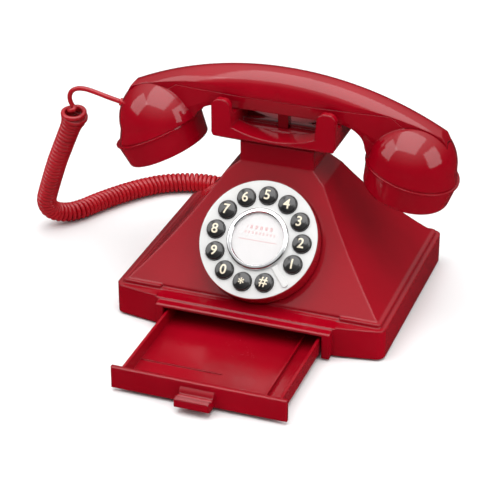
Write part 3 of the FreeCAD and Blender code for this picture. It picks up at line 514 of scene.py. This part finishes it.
class OBJECT_OT_phone_stage(bpy.types.Operator):
    """Camera, pale floor, white surround and soft lights"""

    bl_idname = "phone.stage"
    bl_label = "Stage"

    def execute(self, context):
        s = context.scene.phone_stage
        back = Vector(
            (
                math.sin(s.azimuth) * math.cos(s.elevation),
                -math.cos(s.azimuth) * math.cos(s.elevation),
                math.sin(s.elevation),
            )
        )
        data = bpy.data.cameras.new("camera")
        data.sensor_width = 36
        data.lens = s.lens
        data.clip_end = 50
        camera = bpy.data.objects.new("camera", data)
        camera.location = Vector(s.target) + back * s.distance
        camera.rotation_euler = back.to_track_quat("Z", "Y").to_euler()
        context.scene.collection.objects.link(camera)
        context.scene.camera = camera

        corners = s.floor_half * np.array(((-1, -1, 0), (1, -1, 0), (1, 1, 0), (-1, 1, 0)))
        floor = solid("floor", corners, [(0, 1, 2, 3)])
        f = Finish("floor")
        f.surface(Base_Color=(*s.floor, 1), Roughness=0.75 + f.noise(20.0) * 0.05)
        floor.data.materials.append(f.material)
        # Glossy plastic mirrors the dark lower half of the surround, not the white floor.
        floor.visible_glossy = False

        context.scene.world = self.surround()
        aim = Vector((0, 0, 0.06))
        for name, where, size, power in (
            ("overhead", (-0.05, -0.25, 1.25), 1.3, 11.0),
            ("left_window", (-1.2, -0.5, 0.9), 1.0, 6.0),
            ("right_fill", (1.3, -0.3, 0.7), 1.0, 7.0),
        ):
            light = bpy.data.lights.new(name, "AREA")
            light.shape = "RECTANGLE"
            light.size = light.size_y = size
            light.energy = power
            lamp = bpy.data.objects.new(name, light)
            lamp.location = where
            lamp.rotation_euler = (Vector(where) - aim).to_track_quat("Z", "Y").to_euler()
            context.scene.collection.objects.link(lamp)
        context.scene.view_settings.view_transform = "Standard"
        return {"FINISHED"}

    def surround(self):
        """A studio's surround: bright overhead, dim at eye level, dark below, and white to the camera."""
        world = bpy.data.worlds.new("surround")
        world.use_nodes = True
        tree = world.node_tree
        sky = tree.nodes["Background"]
        where = tree.nodes.new("ShaderNodeTexCoord")
        height = tree.nodes.new("ShaderNodeSeparateXYZ")
        ramp = tree.nodes.new("ShaderNodeValToRGB")
        stops = ramp.color_ramp.elements
        stops[0].position, stops[0].color = 0.0, (0.03, 0.03, 0.03, 1)
        stops[1].position, stops[1].color = 1.0, (1.25, 1.25, 1.25, 1)
        for position, value in ((0.25, 0.10), (0.55, 0.45)):
            stop = stops.new(position)
            stop.color = (value, value, value, 1)
        tree.links.new(where.outputs["Generated"], height.inputs[0])
        tree.links.new(height.outputs["Z"], ramp.inputs["Fac"])
        tree.links.new(ramp.outputs["Color"], sky.inputs["Color"])
        backdrop = tree.nodes.new("ShaderNodeBackground")
        seen = tree.nodes.new("ShaderNodeLightPath")
        mix = tree.nodes.new("ShaderNodeMixShader")
        tree.links.new(seen.outputs["Is Camera Ray"], mix.inputs[0])
        tree.links.new(sky.outputs[0], mix.inputs[1])
        tree.links.new(backdrop.outputs[0], mix.inputs[2])
        tree.links.new(mix.outputs[0], tree.nodes["World Output"].inputs["Surface"])
        backdrop.inputs["Color"].default_value = (1, 1, 1, 1)
        return world


class OBJECT_OT_phone_cord(bpy.types.Operator):
    """The curly cord from the handset to the back of the base"""

    bl_idname = "phone.cord"
    bl_label = "Curly cord"

    def execute(self, context):
        s = context.scene.phone_cord
        route = spline_points(LEAD + COIL + TAIL, "route")
        total = running(route)[-1]
        points_per_turn = 26
        at = np.linspace(0, total, int(total / s.pitch * points_per_turn))
        middle = resampled(route, at)
        # The coil runs from a little above its first control point to a little past its last one.
        first = at[np.argmin(np.linalg.norm(middle - np.array(COIL[0]), axis=1))] - 0.004
        last = at[np.argmin(np.linalg.norm(middle - np.array(COIL[-1]), axis=1))] + 0.001
        path = coiled(middle, at, first, last, s)
        path[:, 2] = np.maximum(path[:, 2], s.wire / 2 + 0.0001)
        wire_length = running(path)[-1]
        ring_gap = 0.0014
        path = resampled(path, np.linspace(0, wire_length, int(wire_length / ring_gap)))
        cord = tube("handset_cord", path, s.wire / 2, s.sides)
        f = Finish("cord_vinyl")
        grain = f.noise(1100.0, 3.0)
        red = context.scene.phone_finish.cord
        f.surface(
            Base_Color=f.mixed(f.noise(25.0).step(0.3, 0.7), red, [c * 0.8 for c in red]),
            Roughness=0.16 + grain * 0.08,
            Normal=f.bumped(grain, 0.1, 0.0002),
            Coat_Weight=0.2,
            Coat_Roughness=0.15,
        )
        cord.data.materials.append(f.material)
        dressed(f.material, "handset_gland", "base_gland")
        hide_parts("cord_lead", "cord_coil", "cord_tail")
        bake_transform(cord)
        return {"FINISHED"}


class OBJECT_OT_phone_shell(bpy.types.Operator):
    """Red plastic of the casing, cradle, drawer and handset"""

    bl_idname = "phone.shell"
    bl_label = "Red shell"

    def execute(self, context):
        s = context.scene.phone_finish
        shell = moulded("red_shell", s.red, s.deep_red, 0.07, s.edge)
        dressed(shell, "upper_casing", "cradle", "drawer_front", "dial_housing", crease=14)
        grip = moulded("red_handset", s.red, s.deep_red, 0.09, 0.0012)
        dressed(grip, "handset_upper", "handset_lower", crease=22)
        caps = moulded("red_caps", s.red, s.deep_red, 0.10, 0.0008)
        dressed(caps, "mouthpiece_cap", "earpiece_cap", "hook_plunger")
        inside = moulded("red_inside", s.deep_red, s.red, 0.22, 0.0006, 0.1)
        dressed(inside, "drawer_tray", "drawer_tunnel", crease=14)
        return {"FINISHED"}


class OBJECT_OT_phone_dial(bpy.types.Operator):
    """Number plate, keys, ring, window, card and finger stop"""

    bl_idname = "phone.dial"
    bl_label = "Dial"

    def execute(self, context):
        s = context.scene.phone_finish
        dressed(painted_plate("plate_paint", s.plate), "dial_faceplate", "finger_stop")
        dressed(moulded("key_plastic", s.black, [c * 0.6 for c in s.black], 0.09, 0.0004, 0.6), *KEY_NAMES)
        dressed(metal("chrome_trim", (0.86, 0.86, 0.87), 0.05, (1, 1, 1), 0.0003), "dial_ring")
        dressed(clear_pane("window_pane"), "dial_window")
        dressed(printed_card("card_print", s.card, s.ink), "number_card")
        return {"FINISHED"}


# A font's size over the height of its figures, and the longest edge that still bends smoothly over a key.
SIZE_TO_HEIGHT = 1.35
LONGEST_EDGE = 0.0007


def lettering(mark, size):
    """A mark as a thin flat mesh, cut fine enough to bend."""
    curve = bpy.data.curves.new("numeral", "FONT")
    curve.body = mark
    curve.size = size
    curve.align_x = "CENTER"
    curve.align_y = "CENTER"
    curve.extrude = 0.00006
    curve.offset = 0.00012
    curve.resolution_u = 6
    letter = bpy.data.objects.new("numeral", curve)
    bpy.context.scene.collection.objects.link(letter)
    mesh = bpy.data.meshes.new_from_object(letter)
    bpy.data.objects.remove(letter)
    fine = bmesh.new()
    fine.from_mesh(mesh)
    bmesh.ops.triangulate(fine, faces=fine.faces)
    for _ in range(2):
        long_edges = [edge for edge in fine.edges if edge.calc_length() > LONGEST_EDGE]
        bmesh.ops.subdivide_edges(fine, edges=long_edges, cuts=1, use_grid_fill=False)
        bmesh.ops.triangulate(fine, faces=fine.faces)
    fine.to_mesh(mesh)
    fine.free()
    return mesh


def on_dome(flat, lift):
    """The points of a mark, centred on a key and bent over its dome.

    The dome stands 3.1 mm over the dial, flat for 1.2 mm round its middle. It is lower by
    0.117 a + 0.037 a^2 mm at a distance of a mm past that.
    """
    middle = (flat[:, :2].min(0) + flat[:, :2].max(0)) / 2
    across = flat[:, :2] - middle
    past = np.maximum(np.linalg.norm(across, axis=1) * 1000 - 1.2, 0)
    height = (3.1 - 0.117 * past - 0.037 * past * past) / 1000 + lift
    return np.column_stack((across, flat[:, 2] + height))


class OBJECT_OT_phone_numerals(bpy.types.Operator):
    """Cream numerals, printed on the domed keys"""

    bl_idname = "phone.numerals"
    bl_label = "Numerals"

    def execute(self, context):
        s = context.scene.phone_numerals
        tint = context.scene.phone_finish.numeral
        f = Finish("numeral_paint")
        wear = f.noise(900.0, 3.0)
        cream = f.surface(
            Base_Color=f.mixed(wear.step(0.4, 0.8), tint, [c * 0.85 for c in tint]),
            Roughness=0.35 + wear * 0.1,
        )
        for n, (mark, key) in enumerate(zip(KEY_FACES, KEY_NAMES)):
            mesh = lettering(mark, s.height * SIZE_TO_HEIGHT)
            flat = np.empty(len(mesh.vertices) * 3)
            mesh.vertices.foreach_get("co", flat)
            bent = on_dome(flat.reshape(-1, 3), s.lift)
            turn = FIRST_KEY + n * KEY_STEP
            bent += KEY_CIRCLE * np.array((math.cos(turn), math.sin(turn), 0))
            placed = DIAL_CENTRE + bent @ DIAL_AXES
            mesh.vertices.foreach_set("co", placed.ravel())
            mesh.update()
            mesh.materials.clear()
            mesh.materials.append(cream)
            numeral = bpy.data.objects.new("numeral_" + key[4:], mesh)
            context.scene.collection.objects.link(numeral)
            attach(numeral, "body_" + key)
        return {"FINISHED"}


class OBJECT_OT_phone_works(bpy.types.Operator):
    """Base plate, feet, bell, switches, boards and the other pieces inside"""

    bl_idname = "phone.works"
    bl_label = "Works"

    def execute(self, context):
        s = context.scene.phone_finish
        black = moulded("black_parts", s.black, [c * 0.6 for c in s.black], 0.22, 0.0005, 0.1)
        dressed(
            black,
            "base_plate",
            "line_socket",
            "slider_switches",
            "ringer_slider",
            "mode_slider",
            "hook_switch",
            "switch_bracket",
            "board_parts",
            "microphone",
        )
        dressed(matte("foot_rubber", (0.03, 0.03, 0.03), 0.7), "rubber_feet", "keypad_membrane")
        dressed(
            metal("works_steel", (0.60, 0.60, 0.61), 0.28),
            "base_screws",
            "dial_screws",
            "gong_screws",
            "handset_screws",
            "handset_weight",
            "hook_spring",
            "board_standoffs",
            "clapper",
            "ringer_frame",
            "receiver",
        )
        dressed(metal("gong_brass", (0.76, 0.58, 0.28), 0.14, (1, 1, 1)), "gong_left", "gong_right")
        dressed(matte("coil_wire", (0.45, 0.20, 0.08), 0.4, 1600.0, 0.0005), "ringer_coil")
        board = matte("circuit_board", (0.04, 0.20, 0.09), 0.4, 800.0, 0.0001)
        dressed(board, "main_board", "keypad_board")
        return {"FINISHED"}


class VIEW3D_PT_phone(bpy.types.Panel):
    """The telephone's pieces, in the order in which they are made"""

    bl_label = "Telephone"
    bl_space_type = "VIEW_3D"
    bl_region_type = "UI"
    bl_category = "Telephone"

    def draw(self, context):
        for operator in OPERATORS:
            self.layout.operator(operator.bl_idname)


OPERATORS = (
    OBJECT_OT_phone_stage,
    OBJECT_OT_phone_cord,
    OBJECT_OT_phone_shell,
    OBJECT_OT_phone_dial,
    OBJECT_OT_phone_numerals,
    OBJECT_OT_phone_works,
)
SETTINGS = {
    "phone_stage": StageSettings,
    "phone_cord": CordSettings,
    "phone_finish": FinishSettings,
    "phone_numerals": NumeralSettings,
}


def register():
    for part in (*SETTINGS.values(), *OPERATORS, VIEW3D_PT_phone):
        bpy.utils.register_class(part)
    for name, group in SETTINGS.items():
        setattr(bpy.types.Scene, name, PointerProperty(type=group))


def unregister():
    for name in SETTINGS:
        delattr(bpy.types.Scene, name)
    for part in (VIEW3D_PT_phone, *reversed(OPERATORS), *reversed(SETTINGS.values())):
        bpy.utils.unregister_class(part)


def main():
    register()
    for operator in OPERATORS:
        space, name = operator.bl_idname.split(".")
        getattr(getattr(bpy.ops, space), name)()


if __name__ == "__main__":
    main()
